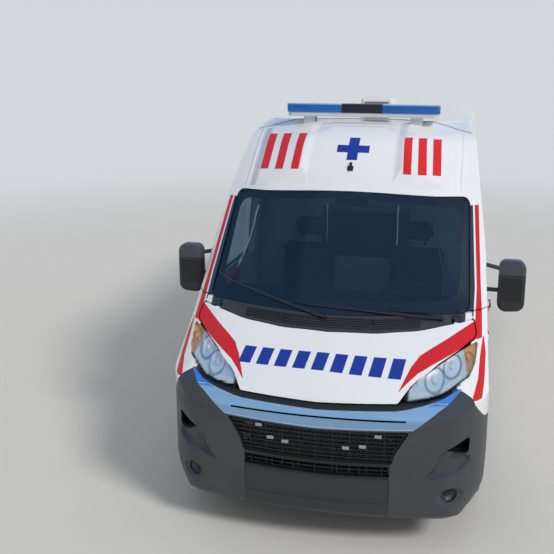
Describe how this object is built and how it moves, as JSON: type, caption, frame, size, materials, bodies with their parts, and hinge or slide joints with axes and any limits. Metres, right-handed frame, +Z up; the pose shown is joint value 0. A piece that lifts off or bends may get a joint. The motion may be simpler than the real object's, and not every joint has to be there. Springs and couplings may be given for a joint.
{
  "type": "ambulance",
  "caption": "High-roof panel van fitted out as an ambulance, with turning and steering wheels, opening doors and bonnet, hollow cab and load space and a roof light bar.",
  "frame": {"origin": "centre of the vehicle's outline on the ground under the tyres", "axes": "+Z up, +Y to the rear, +X to the driver's side, which is the vehicle's left"},
  "size_m": [2.504, 5.4128, 2.6549],
  "materials": {
    "white_paint": "gloss white paint with red side stripes",
    "dark_plastic": "grained black plastic",
    "white_plastic": "moulded white plastic",
    "chrome_trim": "polished chrome",
    "lamp_glass": "clear lamp lens",
    "clear_glass": "lightly tinted glass",
    "red_lens": "red moulded lens",
    "blue_lens": "blue moulded lens",
    "cab_plastic": "soft black trim",
    "seat_cloth": "woven dark grey cloth",
    "cabin_panel": "wipe-clean laminate",
    "floor_panel": "speckled floor covering over a steel floor",
    "black_steel": "black chassis paint",
    "engine_metal": "cast",
    "rim_paint": "silver painted steel",
    "tyre_rubber": "black rubber"
  },
  "bodies": {
    "van_body": {"front_bumper": "dark_plastic", "chrome_bars": "chrome_trim", "headlamps": "lamp_glass", "windscreen": "clear_glass", "grille": "dark_plastic", "wipers": "dark_plastic", "cab_frame": "white_paint", "roof_cap": "white_paint", "roof": "white_paint", "cab_floor": "floor_panel", "floor": "floor_panel", "bulkhead": "cabin_panel", "sliding_door": "white_paint", "side_glass": "clear_glass", "tail_lamps": "red_lens", "rear_bumper": "dark_plastic", "wings": "white_paint", "side_panel_left": "white_paint", "side_panel_right": "white_paint", "scuttle": "dark_plastic", "front_subframe": "black_steel", "rear_axle": "black_steel", "arch_liners": "dark_plastic", "engine": "engine_metal", "exhaust": "black_steel", "fuel_tank": "black_steel", "dashboard": "cab_plastic", "seat_frames": "cab_plastic", "seat_pads": "seat_cloth", "load_fittings": "cabin_panel", "lightbar_base": "dark_plastic", "lightbar_lenses": "blue_lens", "roof_fittings": "white_plastic"},
    "left_front_door": {"front_door_left": "white_paint", "front_door_glass_left": "clear_glass", "mirror_left": "dark_plastic"},
    "left_rear_door": {"rear_door_left": "white_paint", "rear_door_glass_left": "clear_glass"},
    "left_hub": {"knuckle_left": "black_steel"},
    "left_front_wheel": {"rim_front_left": "rim_paint", "tyre_front_left": "tyre_rubber"},
    "left_rear_wheel": {"rim_rear_left": "rim_paint", "tyre_rear_left": "tyre_rubber"},
    "right_front_door": {"front_door_right": "white_paint", "front_door_glass_right": "clear_glass", "mirror_right": "dark_plastic"},
    "right_rear_door": {"rear_door_right": "white_paint", "rear_door_glass_right": "clear_glass"},
    "right_hub": {"knuckle_right": "black_steel"},
    "right_front_wheel": {"rim_front_right": "rim_paint", "tyre_front_right": "tyre_rubber"},
    "right_rear_wheel": {"rim_rear_right": "rim_paint", "tyre_rear_right": "tyre_rubber"},
    "bonnet_lid": {"bonnet": "white_paint"},
    "hand_wheel": {"steering_wheel": "cab_plastic"}
  },
  "joints": [
    {"name": "steer_left", "type": "hinge", "parent": "van_body", "child": "left_hub", "pos_m": [0.8, -1.7585, 0.235], "axis": [-0.1987, 0, 0.9801], "range_deg": [-35, 35]},
    {"name": "steer_right", "type": "hinge", "parent": "van_body", "child": "right_hub", "pos_m": [-0.8, -1.7585, 0.235], "axis": [0.1987, 0, 0.9801], "range_deg": [-35, 35]},
    {"name": "steering_wheel_turn", "type": "hinge", "parent": "van_body", "child": "hand_wheel", "pos_m": [0.45, -1.2885, 1.212], "axis": [0, 0.8795, 0.476], "range_deg": [-525, 525]},
    {"name": "left_front_wheel_spin", "type": "hinge", "parent": "left_hub", "child": "left_front_wheel", "pos_m": [0.905, -1.7585, 0.341], "axis": [1, 0, 0], "continuous": true},
    {"name": "right_front_wheel_spin", "type": "hinge", "parent": "right_hub", "child": "right_front_wheel", "pos_m": [-0.905, -1.7585, 0.341], "axis": [1, 0, 0], "continuous": true},
    {"name": "left_rear_wheel_spin", "type": "hinge", "parent": "van_body", "child": "left_rear_wheel", "pos_m": [0.895, 1.6915, 0.341], "axis": [1, 0, 0], "continuous": true},
    {"name": "right_rear_wheel_spin", "type": "hinge", "parent": "van_body", "child": "right_rear_wheel", "pos_m": [-0.895, 1.6915, 0.341], "axis": [1, 0, 0], "continuous": true},
    {"name": "left_front_door_swing", "type": "hinge", "parent": "van_body", "child": "left_front_door", "pos_m": [1.037, -1.6505, 0.76], "axis": [0.0555, 0, -0.9985], "range_deg": [0, 70]},
    {"name": "right_front_door_swing", "type": "hinge", "parent": "van_body", "child": "right_front_door", "pos_m": [-1.037, -1.6505, 0.76], "axis": [0.0555, 0, 0.9985], "range_deg": [0, 70]},
    {"name": "left_rear_door_swing", "type": "hinge", "parent": "van_body", "child": "left_rear_door", "pos_m": [0.918, 2.6655, 0.7], "axis": [0, 0, -1], "range_deg": [0, 180]},
    {"name": "right_rear_door_swing", "type": "hinge", "parent": "van_body", "child": "right_rear_door", "pos_m": [-0.918, 2.6655, 0.7], "axis": [0, 0, 1], "range_deg": [0, 180]},
    {"name": "bonnet_lift", "type": "hinge", "parent": "van_body", "child": "bonnet_lid", "pos_m": [0, -2.0585, 1.352], "axis": [-1, 0, 0], "range_deg": [0, 50]}
  ],
  "couplings": [
    {"joint": "steer_right", "follows": "steer_left", "ratio": 1},
    {"joint": "steering_wheel_turn", "follows": "steer_left", "ratio": 15}
  ]
}
